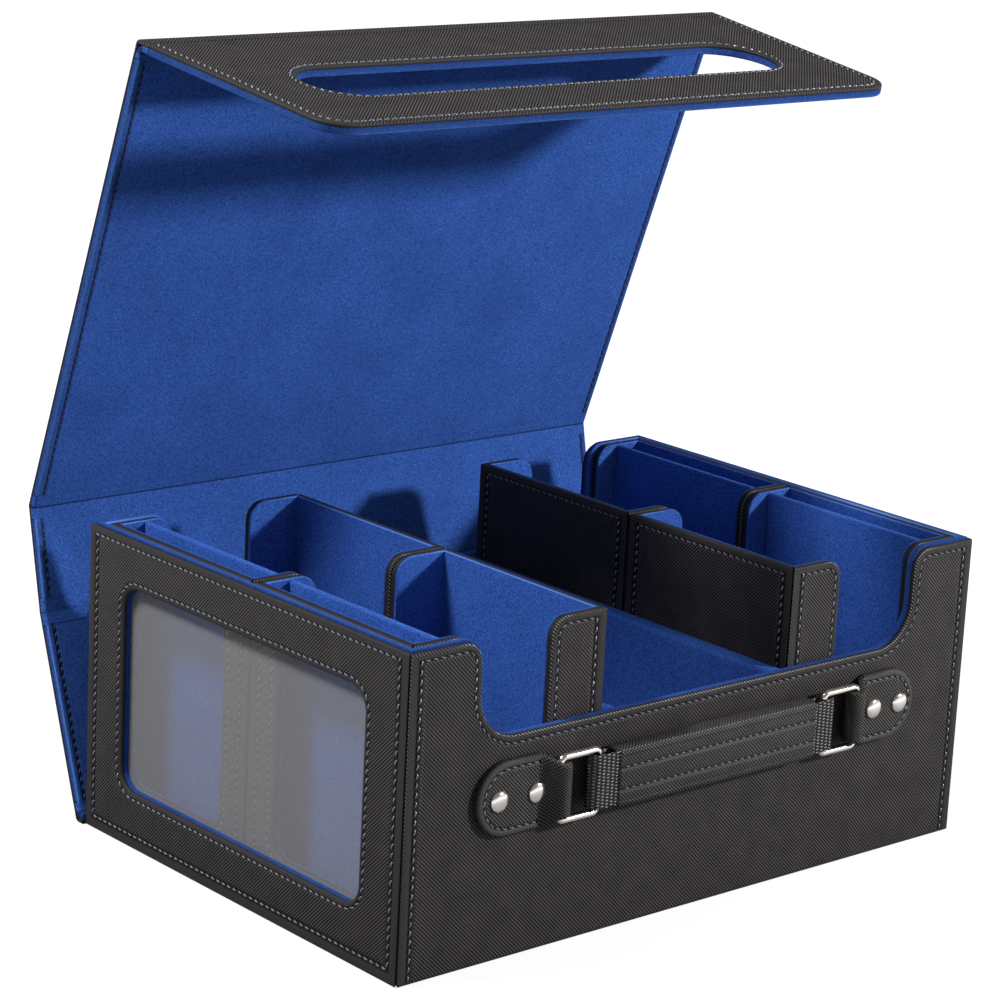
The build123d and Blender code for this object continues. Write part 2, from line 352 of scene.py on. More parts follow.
def show(name, mesh, material, body=None, slot=None, replaces=()):
    """The finished object of a mesh, riding on its body."""
    mesh.shade_smooth()
    mesh.set_sharp_from_angle(angle=SHARP_ANGLE)
    mesh.materials.append(material)
    made = bpy.data.objects.new(name, mesh)
    bpy.context.scene.collection.objects.link(made)
    if body:
        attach(made, body)
    if replaces:
        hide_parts(*replaces)
    return made


class Skin:
    """Points, their place on the grain, their tone and the faces of one piece."""

    def __init__(self):
        self.points = []
        self.grain = []
        self.tones = []
        self.faces = []

    def add(self, point, grain=(0, 0), tone=0):
        """One point in millimetres; returns its number."""
        self.points.append(point * MM)
        self.grain.append((grain[0] / GRAIN_UNIT, grain[1] / GRAIN_UNIT))
        self.tones.append(tone)
        return len(self.points) - 1

    def bridge(self, rows):
        """Four-sided faces between closed rows of points."""
        for low, high in zip(rows, rows[1:]):
            for (a, b), (d, c) in zip(legs(low), legs(high)):
                self.faces.append((a, b, c, d))

    def tube(self, rows):
        """Faces between rows of points, with flat ends."""
        self.bridge(rows)
        self.faces.append(tuple(rows[0][::-1]))
        self.faces.append(tuple(rows[-1]))

    def cap(self, outlines, shapes, turned_down):
        """A flat end inside an outline, with its holes left open."""
        numbers = [n for outline in outlines for n in outline]
        flat = [p for shape in shapes for p in shape]
        for corners in tessellate_polygon([[p.to_3d() for p in shape] for shape in shapes]):
            a, b, c = [flat[i] for i in corners]
            upwards = (b - a).cross(c - a) > 0
            corners = corners if upwards != turned_down else corners[::-1]
            self.faces.append(tuple(numbers[i] for i in corners))

    def panel(self, face, rule, outer, inner=None, flip=1):
        """A sheet over a flat shape, its edges turned as the rings and the rule say."""
        first = ([], [])
        last = ([], [])
        for loop in face.loops:
            rings = outer if loop is face.loops[0] else inner
            kinds = [rule(a, b) for a, b in legs(loop)]
            spread = rings[-1][0]
            spreads = [spread]
            for ring, after in zip(rings[-2::-1], rings[:0:-1]):
                spread -= math.hypot(after[0] - ring[0], after[1] - ring[1])
                spreads.insert(0, spread)
            rows = []
            shapes = []
            for (inset, height, tone), spread in zip(rings, spreads):
                shape = offset_loop(loop, [kind.reach(inset, height) for kind in kinds])
                grain = offset_loop(loop, [kind.reach(inset, 0.0) + spread - inset for kind in kinds])
                row = []
                for i, (spot, mark) in enumerate(zip(shape, grain)):
                    # Positive tones become painted highlight as far as the edges allow, the rest the smooth
                    # tone.
                    painted_light = (kinds[i - 1].painted_light + kinds[i].painted_light) / 2 if tone > 0 else 1.0
                    shade = tone * painted_light + SMOOTH_TONE * (1.0 - painted_light)
                    row.append(self.add(face.place(spot, height), (flip * mark.x, mark.y), shade))
                rows.append(row)
                shapes.append(shape)
            self.bridge(rows)
            first[0].append(rows[0])
            first[1].append(shapes[0])
            last[0].append(rows[-1])
            last[1].append(shapes[-1])
        self.cap(*first, turned_down=True)
        self.cap(*last, turned_down=False)

    def loft(self, sections, along, around, tones=None):
        """A closed tube through sections of as many points each, with flat ends."""
        rows = []
        for section, v, tone in zip(sections, along, tones or [0.0] * len(sections)):
            rows.append([self.add(p, (u, v), tone) for p, u in zip(section, around)])
        self.tube(rows)

    def stitches(self, spots, normals, closed):
        """Threads along a line of points that lie on a surface."""
        steps = [(b - a).length for a, b in zip(spots, spots[1:])]
        if closed:
            spots = spots + spots[:1]
            normals = normals + normals[:1]
            steps.append((spots[-1] - spots[-2]).length)
        total = sum(steps)
        count = max(1, round(total / STITCH_PITCH))
        passed = 0.0
        leg = 0
        for k in range(count):
            want = total * (k + 0.5) / count
            while passed + steps[leg] < want:
                passed += steps[leg]
                leg += 1
            share = (want - passed) / steps[leg]
            middle = spots[leg].lerp(spots[leg + 1], share)
            normal = normals[leg].lerp(normals[leg + 1], share).normalized()
            run = (spots[leg + 1] - spots[leg]).normalized()
            self.stitch(middle, run, normal)

    def stitch(self, middle, run, normal):
        """One thread, a little slanted, that dives into the leather at its ends."""
        across = normal.cross(run)
        run = (run + across * STITCH_SLANT).normalized()
        across = normal.cross(run)
        half = STITCH_LENGTH / 2
        rows = []
        for along, swell, lift in STITCH_PROFILE:
            centre = middle + run * (half * along) + normal * (STITCH_RADIUS * lift)
            row = []
            for i in range(STITCH_SIDES):
                turn = 2 * math.pi / STITCH_SIDES * i
                ray = across * math.cos(turn) + normal * math.sin(turn)
                row.append(self.add(centre + ray * (STITCH_RADIUS * swell)))
            rows.append(row)
        self.bridge([row[::-1] for row in rows])
        for row, end in ((rows[0], -half), (rows[-1][::-1], half)):
            tip = self.add(middle + run * end - normal * (STITCH_RADIUS * STITCH_DIVE))
            for i in range(STITCH_SIDES):
                self.faces.append((row[i], row[(i + 1) % STITCH_SIDES], tip))

    def seam(self, face, loop, rule, inset, height=0.0):
        """Stitching along an outline, left out where an edge isn't sewn."""
        kinds = [rule(a, b) for a, b in legs(loop)]
        sewn = [kind.sewn for kind in kinds]
        line = offset_loop(loop, [kind.reach(inset if kind.sewn else UNSEWN_INSET, 0.0) for kind in kinds])
        start = sewn.index(False) + 1 if False in sewn else 0
        run = [line[start % len(line)]]
        for i in range(start, start + len(line)):
            here = i % len(line)
            if sewn[here]:
                run.append(line[(here + 1) % len(line)])
            else:
                self.sew(face, run, False, height)
                run = [line[(here + 1) % len(line)]]
        if all(sewn):
            self.sew(face, run[:-1], True, height)

    def sew(self, face, run, closed, height):
        """Stitching along a run of spots on a face."""
        if len(run) > 1:
            self.stitches([face.place(p, height) for p in run], [face.normal] * len(run), closed)

    def piece(self, name, material, body=None, slot=None, replaces=()):
        """The finished object, with its grain chart and its tones."""
        mesh = bpy.data.meshes.new(name)
        mesh.from_pydata(self.points, [], self.faces)
        layer = mesh.uv_layers.new(name="grain")
        for corner in mesh.loops:
            layer.data[corner.index].uv = self.grain[corner.vertex_index]
        mesh.attributes.new("tone", "FLOAT", "POINT").data.foreach_set("value", self.tones)
        work = bmesh.new()
        work.from_mesh(mesh)
        bmesh.ops.remove_doubles(work, verts=work.verts, dist=1e-7)
        bmesh.ops.dissolve_degenerate(work, edges=work.edges, dist=1e-8)
        work.to_mesh(mesh)
        work.free()
        return show(name, mesh, material, body, slot, replaces)


# Materials


class Nodes:
    """Short calls for the nodes of a material or of the surroundings."""

    def __init__(self, tree):
        self.tree = tree

    def feed(self, socket, value):
        """Link a socket, or set a constant."""
        if isinstance(value, bpy.types.NodeSocket):
            self.tree.links.new(value, socket)
        else:
            socket.default_value = value

    def node(self, kind, **values):
        """A new node with its inputs, by name with _ for a blank."""
        made = self.tree.nodes.new(kind)
        for name, value in values.items():
            self.feed(made.inputs[name.replace("_", " ")], value)
        return made

    def math(self, operation, first, second=0.0):
        """The result of a sum, product or other operation."""
        made = self.tree.nodes.new("ShaderNodeMath")
        made.operation = operation
        self.feed(made.inputs[0], first)
        self.feed(made.inputs[1], second)
        return made.outputs[0]

    def mix(self, share, first, second):
        """A colour between two others."""
        made = self.tree.nodes.new("ShaderNodeMix")
        made.data_type = "RGBA"
        self.feed(made.inputs[0], share)
        self.feed(made.inputs[6], first)
        self.feed(made.inputs[7], second)
        return made.outputs[2]

    def spread(self, value, low, high, to_low=0.0, to_high=1.0):
        """A value carried from one range to another, held at its ends."""
        made = self.node(
            "ShaderNodeMapRange", Value=value, From_Min=low, From_Max=high, To_Min=to_low, To_Max=to_high)
        return made.outputs[0]

    def noise(self, vector, scale, detail=2.0, roughness=0.5):
        """Cloudy noise, by cells per unit of the vector."""
        return self.node(
            "ShaderNodeTexNoise", Vector=vector, Scale=scale, Detail=detail, Roughness=roughness).outputs[0]

    def place(self, kind):
        """The point in the piece's own frame (Object), or the direction of the sky (Generated)."""
        return self.node("ShaderNodeTexCoord").outputs[kind]

    def ray(self, kind):
        """1 for rays of a kind."""
        return self.node("ShaderNodeLightPath").outputs[kind]

    def seen_directly(self):
        """1 for rays from the camera, mirrors and glass, 0 for the rays that light a surface."""
        seen = self.ray("Is Camera Ray")
        for kind in ("Is Glossy Ray", "Is Transmission Ray"):
            seen = self.math("MAXIMUM", seen, self.ray(kind))
        return seen

    def in_mirrors(self, level):
        """A level for rays from mirrors, 1 for the others."""
        return self.spread(self.ray("Is Glossy Ray"), 0.0, 1.0, 1.0, level)


class Paint(Nodes):
    """A material and its surface."""

    def __init__(self, name):
        self.material = bpy.data.materials.new(name)
        self.material.use_nodes = True
        super().__init__(self.material.node_tree)
        self.surface = self.tree.nodes["Principled BSDF"]

    def set(self, **values):
        """Inputs of the surface, by name with _ for a blank."""
        for name, value in values.items():
            self.feed(self.surface.inputs[name.replace("_", " ")], value)

    def bump(self, height, distance, strength=1.0):
        """Relief for the surface, distance in metres."""
        made = self.node("ShaderNodeBump", Height=height, Distance=distance, Strength=strength)
        self.feed(self.surface.inputs["Normal"], made.outputs[0])

    def grain(self):
        """The place on the piece's grain chart."""
        made = self.node("ShaderNodeUVMap")
        made.uv_map = "grain"
        return made.outputs[0]

    def tone(self):
        """The tone of the piece's points."""
        made = self.node("ShaderNodeAttribute")
        made.attribute_name = "tone"
        return made.outputs["Fac"]


# Leather: ribs that wander a little, clouds over them, painted shade in hollows and painted highlight dots
# on edges
GRAIN_PITCH = 1.115
GRAIN_RELIEF = 0.00012
GRAIN_FLOOR = -0.7
WANDER = 0.6
WANDER_SCALE = 2.2
CLOUDED = (0.3, 0.7)
LEATHER_CLOUD_SCALE = 0.9
LEATHER_CLOUD = (0.75, 1.15)
LEATHER_ROUGH = (0.6, 0.4)
LEATHER_SPECULAR = 0.16
HOLLOW_SHADE_SHARE = 0.08
HIGHLIGHT_FROM = 0.8
LEATHER_LOW = (0.003, 0.0026, 0.0025, 1)
LEATHER_HIGH = (0.085, 0.0745, 0.0765, 1)
# The strap leather's rib tops are lighter than the walls': a painted highlight where light catches its
# dots.
STRAP_HIGH = (0.150, 0.142, 0.138, 1)
LEATHER_PAINTED_HIGHLIGHT = (0.55, 0.54, 0.53, 1)
SMOOTH_SHARE = 0.36

# Suede: fine nap and clouds, with a painted highlight on its edges and painted shade in its hollows
NAP_SCALE = 1200.0
NAP_SPREAD = (0.22, 0.76)
NAP_RELIEF = 0.00025
SUEDE_CLOUD_SCALE = 28.0
SUEDE_CLOUD = (0.82, 1.12)
SUEDE_HIGHLIGHT_SHARE = 0.9
SUEDE_SHADE_SHARE = 0.85
SUEDE_LOW = (0.003, 0.016, 0.105, 1)
SUEDE_HIGH = (0.058, 0.170, 0.63, 1)
SUEDE_PAINTED_HIGHLIGHT = (0.15, 0.32, 0.74, 1)
SUEDE_PAINTED_SHADE = (0.004, 0.010, 0.035, 1)


def leather_paint(name, cross_share, high):
    """Black leather embossed with fine slanted ribs, cut across into short lengths."""
    paint = Paint(name)
    chart = paint.grain()
    parts = paint.node("ShaderNodeSeparateXYZ", Vector=chart)
    turn = 2 * math.pi * GRAIN_UNIT / GRAIN_PITCH / math.sqrt(2)
    shift = paint.math("MULTIPLY", paint.noise(chart, WANDER_SCALE), WANDER)
    rib = paint.math("MULTIPLY", paint.math("ADD", parts.outputs[0], parts.outputs[1]), turn)
    cross = paint.math("MULTIPLY", paint.math("SUBTRACT", parts.outputs[0], parts.outputs[1]), turn)
    rib = paint.math("SINE", paint.math("ADD", rib, shift))
    cross = paint.math("SINE", paint.math("ADD", cross, shift))
    rib = paint.spread(rib, GRAIN_FLOOR, 1.0)
    height = paint.math("MULTIPLY", rib, paint.spread(cross, -1.0, 1.0, 1.0 - cross_share, 1.0))
    cloud = paint.noise(chart, LEATHER_CLOUD_SCALE, 3.0)
    share = paint.math("MULTIPLY", height, paint.spread(cloud, *CLOUDED, *LEATHER_CLOUD))
    tone = paint.tone()
    smooth = paint.spread(tone, SMOOTH_TONE, 0.0, 1.0, 0.0)
    ribbed = paint.spread(tone, SMOOTH_TONE, 0.0)
    height = paint.math("MULTIPLY", height, ribbed)
    share = paint.math("MULTIPLY", share, ribbed)
    share = paint.math("ADD", share, paint.math("MULTIPLY", smooth, SMOOTH_SHARE))
    # Painted shade: tones below the smooth tone darken the leather, most in grooves and on the dark lines
    # of edges.
    share = paint.math("MULTIPLY", share, paint.spread(tone, -1.0, SMOOTH_TONE, HOLLOW_SHADE_SHARE, 1.0))
    colour = paint.mix(share, LEATHER_LOW, high)
    # Painted highlight: light dots on the rib tops of rolls whose tone is near 1.
    painted_light = paint.math("MULTIPLY", paint.spread(tone, HIGHLIGHT_FROM, 1.0), paint.math("POWER", rib, 2.0))
    paint.set(Base_Color=paint.mix(painted_light, colour, LEATHER_PAINTED_HIGHLIGHT), Specular_IOR_Level=LEATHER_SPECULAR)
    paint.set(Roughness=paint.spread(height, 0.0, 1.0, *LEATHER_ROUGH))
    paint.bump(height, GRAIN_RELIEF)
    return paint.material


def suede_paint(name):
    """Napped suede: fine fibres, soft clouds where the nap lies another way."""
    paint = Paint(name)
    place = paint.place("Object")
    nap = paint.noise(place, NAP_SCALE, 3.0, 0.75)
    cloud = paint.noise(place, SUEDE_CLOUD_SCALE, 4.0, 0.6)
    cloud = paint.spread(cloud, *CLOUDED, *SUEDE_CLOUD)
    share = paint.math("MULTIPLY", paint.spread(nap, *NAP_SPREAD), cloud)
    tone = paint.tone()
    colour = paint.mix(share, SUEDE_LOW, SUEDE_HIGH)
    # Painted highlight on the rolls' crowns.
    colour = paint.mix(paint.spread(tone, 0.3, 1.0, 0.0, SUEDE_HIGHLIGHT_SHARE), colour, SUEDE_PAINTED_HIGHLIGHT)
    # Painted shade where the tone is below 0.
    colour = paint.mix(paint.spread(tone, -1.0, 0.0, SUEDE_SHADE_SHARE, 0.0), colour, SUEDE_PAINTED_SHADE)
    paint.set(Base_Color=colour, Roughness=0.9, Specular_IOR_Level=0.1)
    paint.bump(nap, NAP_RELIEF, 0.5)
    return paint.material


def plain_paint(name, colour, **values):
    """One colour all over."""
    paint = Paint(name)
    paint.set(Base_Color=colour, **values)
    return paint.material


LEATHER = leather_paint("black_leather", 0.3, LEATHER_HIGH)
STRAP_LEATHER = leather_paint("strap_leather", 0.85, STRAP_HIGH)
SUEDE = suede_paint("blue_suede")
THREAD = plain_paint("thread", (0.115, 0.132, 0.178, 1), Roughness=0.32, Specular_IOR_Level=1.0)
LINING_THREAD = plain_paint("lining_thread", (0.008, 0.014, 0.05, 1), Roughness=0.6)
NICKEL = plain_paint("nickel", (0.84, 0.80, 0.75, 1), Metallic=1.0, Roughness=0.16)
# The boards are near black: painted shade where they show in the gaps between leather pieces.
BOARD = plain_paint("board", (0.02, 0.02, 0.022, 1), Roughness=0.9)
STEEL = plain_paint("hidden_steel", (0.45, 0.45, 0.46, 1), Metallic=1.0, Roughness=0.4)
FOAM = plain_paint("grip_foam", (0.05, 0.05, 0.05, 1), Roughness=0.95)
FILM = plain_paint("clear_film", (0.60, 0.60, 0.62, 1), Roughness=0.5, Specular_IOR_Level=0.2, Alpha=0.2)

# Webbing: rows of beads, their tops lighter as a painted highlight
WEB_PITCH = 2.3
WEB_BEAD = 1.3
WEB_RELIEF = 0.0003
WEB_LOW = (0.003, 0.003, 0.003, 1)
WEB_BEAD_HIGHLIGHT = (0.34, 0.33, 0.32, 1)


def webbing_paint():
    """Black webbing, its ribs across the band made of beads that shine a little, their tops lighter as a
    painted highlight.
    """
    paint = Paint("webbing")
    parts = paint.node("ShaderNodeSeparateXYZ", Vector=paint.grain())
    rib = paint.math("MULTIPLY", parts.outputs[1], GRAIN_UNIT / WEB_PITCH)
    stagger = paint.math("MULTIPLY", paint.math("FLOOR", rib), 0.5)
    bead = paint.math("ADD", paint.math("MULTIPLY", parts.outputs[0], GRAIN_UNIT / WEB_BEAD), stagger)
    bead = paint.spread(paint.math("SINE", paint.math("MULTIPLY", bead, 2 * math.pi)), -0.2, 1.0)
    hump = paint.math("ABSOLUTE", paint.math("SINE", paint.math("MULTIPLY", rib, math.pi)))
    share = paint.math("MULTIPLY", bead, paint.math("POWER", hump, 3.0))
    paint.set(Base_Color=paint.mix(share, WEB_LOW, WEB_BEAD_HIGHLIGHT))
    paint.set(Roughness=0.5, Specular_IOR_Level=0.4)
    paint.bump(share, WEB_RELIEF)
    return paint.material


WEBBING = webbing_paint()

# CAD nodes that stay as they are take their finish here
KEPT = {"board": BOARD, "film": FILM, "plates": STEEL, "magnets": STEEL, "core": FOAM, "ring": NICKEL}
for name, node in frame["nodes"].items():
    for ending, material in KEPT.items():
        if name.endswith(ending):
            node.data.materials.clear()
            node.data.materials.append(material)

# Tub: walls with mitred corners, floor and low dividers
LONG_GRAIN = 1
SIDE_GRAIN = -1
BASE_ROLL = 0.5
BASE_FOOT = 0.3
DIVIDER_ROUND = 2.2
POCKET_ROUND = 0.9
wall_top = box_mm("front_wall_leather")[1].z
# Front and rear walls carry the painted highlight on their tops and dips; the side walls' edges carry none.
WALLS = (
    ("front_wall", (0, -1, 0), LONG_GRAIN, FRONT_TOP, UNSEWN, eased(wall_top, FRONT_DROP)),
    ("rear_wall", (0, 1, 0), LONG_GRAIN, FRONT_TOP, UNSEWN, eased(wall_top, FRONT_DROP)),
    ("left_wall", (-1, 0, 0), SIDE_GRAIN, SIDE_TOP, FOOTED, always(UNHIGHLIGHTED)),
    ("right_wall", (1, 0, 0), SIDE_GRAIN, SIDE_TOP, FOOTED, always(UNHIGHLIGHTED)),
)
wall_leather = box_mm("front_wall_leather")[1].y - box_mm("front_wall_leather")[0].y
wall_lining = box_mm("front_wall_lining")[1].y - box_mm("front_wall_lining")[0].y
for name, normal, grain, top, foot, other in WALLS:
    outside = cad_face(f"{name}_leather", normal)
    rule = by_side(outside, MITRED, MITRED, foot, top, other)
    border = turned_edge(wall_leather, LEATHER_ROLL, LEATHER_FOOT, stitch=EDGE_STITCH)
    frame_border = turned_edge(wall_leather, LEATHER_ROLL, LEATHER_FOOT, stitch=WINDOW_STITCH)
    skin = Skin()
    skin.panel(outside, rule, border, frame_border, grain)
    skin.piece(f"{name}_skin", LEATHER, "tub", "black_leather", [f"{name}_leather"])
    sewing = Skin()
    sewing.seam(outside, outside.loops[0], rule, EDGE_STITCH)
    for hole in outside.loops[1:]:
        sewing.seam(outside, hole, rule, WINDOW_STITCH)
    sewing.piece(f"{name}_stitching", THREAD, "tub")
    inside = cad_face(f"{name}_lining", -Vector(normal))
    # Lining: on the side walls a painted highlight on the top lip and painted shade round the window; on
    # the front and rear walls about half the painted highlight.
    lip, rim = (ROLLED, SHADED) if normal[0] else (HALF_HIGHLIGHTED, HALF_HIGHLIGHTED)
    rule = by_side(inside, MITRED_IN, MITRED_IN, top=lip, other=always(rim))
    plain = turned_edge(wall_lining, LINING_ROLL, LINING_FOOT, shade=LINING_SHADE)
    skin = Skin()
    skin.panel(inside, rule, plain, plain)
    skin.piece(f"{name}_suede", SUEDE, "tub", "blue_suede", [f"{name}_lining"])

for layer, normal, depth, material, slot in (
        ("leather", (0, 0, -1), wall_leather, LEATHER, "black_leather"),
        ("lining", (0, 0, 1), wall_lining, SUEDE, "blue_suede")):
    face = cad_face(f"floor_{layer}", normal)
    skin = Skin()
    skin.panel(face, always(ROLLED), turned_edge(depth, BASE_ROLL, BASE_FOOT))
    skin.piece(f"floor_{layer}_skin", material, "tub", slot, [f"floor_{layer}"])


def soft_block(name, node, radius, body):
    """A suede-covered board with round edges, in the place of a CAD box."""
    low, high = box_mm(node)
    mesh = bpy.data.meshes.new(name)
    work = bmesh.new()
    bmesh.ops.create_cube(work, size=1.0)
    size = Matrix.Diagonal((*((high - low) * MM), 1.0))
    bmesh.ops.transform(work, matrix=Matrix.Translation((low + high) / 2 * MM) @ size, verts=work.verts)
    bmesh.ops.bevel(work, geom=work.edges[:], offset=radius * MM, segments=4, profile=0.5, affect="EDGES")
    work.to_mesh(mesh)
    work.free()
    show(name, mesh, SUEDE, body, "blue_suede", [node])


for side in ("left", "right"):
    soft_block(f"{side}_divider_suede", f"{side}_lane_divider", DIVIDER_ROUND, "tub")

# Trays
AXES = ((1, 0, 0), (-1, 0, 0), (0, 1, 0), (0, -1, 0))
TRAYS = ("left_front", "left_rear", "right_front", "right_rear")
room_low = box_mm("left_front_tray_lining")[0]
tray_shell = room_low.x - box_mm("left_front_tray_shell")[0].x
tray_lining = cad_face("left_front_tray_lining", (0, 0, 1), near=True).level - room_low.z
for place in TRAYS:
    body = f"{place}_tray"
    skin = Skin()
    sewing = Skin()
    border = turned_edge(tray_shell, TRAY_ROLL, TRAY_FOOT, pocket=False, stitch=EDGE_STITCH)
    for normal in AXES:
        face = cad_face(f"{body}_shell", normal)
        # Tray end walls carry the painted highlight on their tops and dips; the long walls' tops carry
        # none.
        lip = UNHIGHLIGHTED if normal[0] else ROLLED
        rule = by_side(face, MITRED, MITRED, MITRED, lip, always(lip))
        skin.panel(face, rule, border, border, SIDE_GRAIN if normal[0] else LONG_GRAIN)
        for loop in face.loops:
            sewing.seam(face, loop, rule, EDGE_STITCH)
    face = cad_face(f"{body}_shell", (0, 0, -1))
    skin.panel(face, always(MITRED), turned_edge(tray_shell, TRAY_ROLL, TRAY_FOOT, pocket=False))
    skin.piece(f"{body}_skin", LEATHER, body, "tray_board", [f"{body}_shell"])
    sewing.piece(f"{body}_stitching", THREAD, body)
    skin = Skin()
    plain = turned_edge(tray_lining, TRAY_LINING_ROLL, TRAY_FOOT, pocket=False, shade=LINING_SHADE)
    for normal in AXES:
        face = cad_face(f"{body}_lining", normal, near=True)
        # Tray linings carry about half the painted highlight on their tops and dips.
        rule = by_side(face, MITRED_IN, MITRED_IN, MITRED_IN, HALF_HIGHLIGHTED, always(HALF_HIGHLIGHTED))
        skin.panel(face, rule, plain, plain)
    face = cad_face(f"{body}_lining", (0, 0, 1), near=True)
    skin.panel(face, always(MITRED_IN), plain)
    skin.piece(f"{body}_suede", SUEDE, body, "blue_suede", [f"{body}_lining"])
    soft_block(f"{body}_pocket_suede", f"{body}_pocket_panel", POCKET_ROUND, body)

# Cover: panels between folds
COVER = ("back_lower", "back_upper", "lid", "flap")
cover_leans = {}
for name in COVER:
    widest = max(frame["nodes"][f"{name}_board"].data.polygons, key=lambda p: p.area)
    out = widest.normal * (1 if widest.normal.y + widest.normal.z > 0 else -1)
    cover_leans[name] = math.atan2(-out.z, out.y)
fold_height = box_mm("base_fold")[1].z
half_cover = box_mm("lid_leather")[1].x


def lean_frame(lean):
    """Directions up a leaning panel and out of its leather."""
    up = Vector((0, math.sin(lean), math.cos(lean)))
    out = Vector((0, math.cos(lean), -math.sin(lean)))
    return up, out


lid_out = lean_frame(cover_leans["lid"])[1]
lid_front = cad_face("lid_leather", lid_out).level
lid_back = cad_face("lid_leather", -lid_out, least_area=1.0).level
cover_leather = lid_front + lid_back
cover_lining = fold_height - cover_leather
COVER_LAYERS = (
    ("leather", 1, cover_leather, COVER_ROLL, COVER_FOOT, EDGE_SHADE, LEATHER, "black_leather", THREAD),
    ("lining", -1, cover_lining, LINING_ROLL, LINING_FOOT, LINING_SHADE, SUEDE, "blue_suede",
     LINING_THREAD),
)
for name in COVER:
    up, out = lean_frame(cover_leans[name])
    for layer, sign, depth, roll, foot, shade, material, slot, thread in COVER_LAYERS:
        face = cad_face(f"{name}_{layer}", out * sign)
        after = cut_back(FOLD_AFTER - PANEL_GAP)
        before = cut_back(FOLD_BEFORE)
        ends = {"bottom": after, "top": before}
        if face.up.dot(up) < 0:
            ends = {"bottom": before, "top": after}
        # The flap's free front edge carries the painted highlight in both layers; the cover leather's side
        # edges carry none and the lining's side edges about half.
        if name == "flap":
            ends = {key: edge if edge is after else ROLLED for key, edge in ends.items()}
        rim = UNHIGHLIGHTED if layer == "leather" else HALF_HIGHLIGHTED
        rule = by_side(face, rim, rim, other=always(rim), **ends)
        border = turned_edge(depth, roll, foot, stitch=EDGE_STITCH, shade=shade)
        slot_border = turned_edge(depth, roll, foot, stitch=SLOT_STITCH, shade=shade)
        skin = Skin()
        skin.panel(face, rule, border, slot_border, SIDE_GRAIN)
        skin.piece(f"{name}_{layer}_skin", material, name, slot, [f"{name}_{layer}"])
        sewing = Skin()
        height = FLAP_THREAD if (name, layer) == ("flap", "lining") else 0.0
        sewing.seam(face, face.loops[0], rule, EDGE_STITCH, height)
        for hole in face.loops[1:]:
            sewing.seam(face, hole, rule, SLOT_STITCH, height)
        sewing.piece(f"{name}_{layer}_stitching", thread, name)

# Folds of the cover: leather outside and suede inside, bending from one panel to the next


def strap_section(half, depth, roll, foot):
    """(across, height) round a flat strap with turned edges, from its back over its face."""
    rise = []
    for i in range(FOOT_STEPS + 1):
        turn = math.pi / 2 * i / FOOT_STEPS
        rise.append((half - foot + foot * math.sin(turn), foot - depth - foot * math.cos(turn)))
    for i in range(ARC_STEPS + 1):
        turn = math.pi / 2 * i / ARC_STEPS
        rise.append((half - roll + roll * math.cos(turn), roll * math.sin(turn) - roll))
    rise.append((half - roll - BORDER_END, 0.0))
    return rise + [(-x, h) for x, h in reversed(rise)]


def run_lengths(points):
    """Distance run at each of a line of points."""
    runs = [0.0]
    for a, b in zip(points, points[1:]):
        runs.append(runs[-1] + (b - a).length)
    return runs


def strap(skin, stations, across, sections, tones=None):
    """A strap through stations of (point on its face, normal), each with its own section."""
    rings = []
    for (point, normal), section in zip(stations, sections):
        rings.append([point + across * x + normal * h for x, h in section])
    around = run_lengths([Vector(p) for p in sections[0]])
    skin.loft(rings, run_lengths([p for p, n in stations]), around, tones)


def fold_stations(hinge, lean_a, lean_b, radius, before, after, inner):
    """Points and normals along a fold's face, outside round the hinge line or inside in the hollow."""
    centre = Vector((0, hinge.x, hinge.y))
    up_a, out_a = lean_frame(lean_a)
    up_b, out_b = lean_frame(lean_b)
    bend = lean_a - lean_b
    sign = -1 if inner else 1
    hollow = (radius + FOLD_HOLLOW) * math.tan(bend / 2) if inner else 0.0
    pivot = centre
    if inner:
        pivot = centre - out_a * (radius + FOLD_HOLLOW) - up_a * hollow
    stations = []
    for i in range(FOLD_STRAIGHT):
        reach = before + (hollow - before) * i / FOLD_STRAIGHT
        stations.append((centre + out_a * (radius * sign) - up_a * reach, out_a * sign))
    arm = FOLD_HOLLOW if inner else radius
    for i in range(FOLD_BEND + 1):
        out = lean_frame(lean_a - bend * i / FOLD_BEND)[1]
        stations.append((pivot + out * arm, out * sign))
    for i in range(1, FOLD_STRAIGHT + 1):
        reach = hollow + (after - hollow) * i / FOLD_STRAIGHT
        stations.append((centre + out_b * (radius * sign) + up_b * reach, out_b * sign))
    return stations


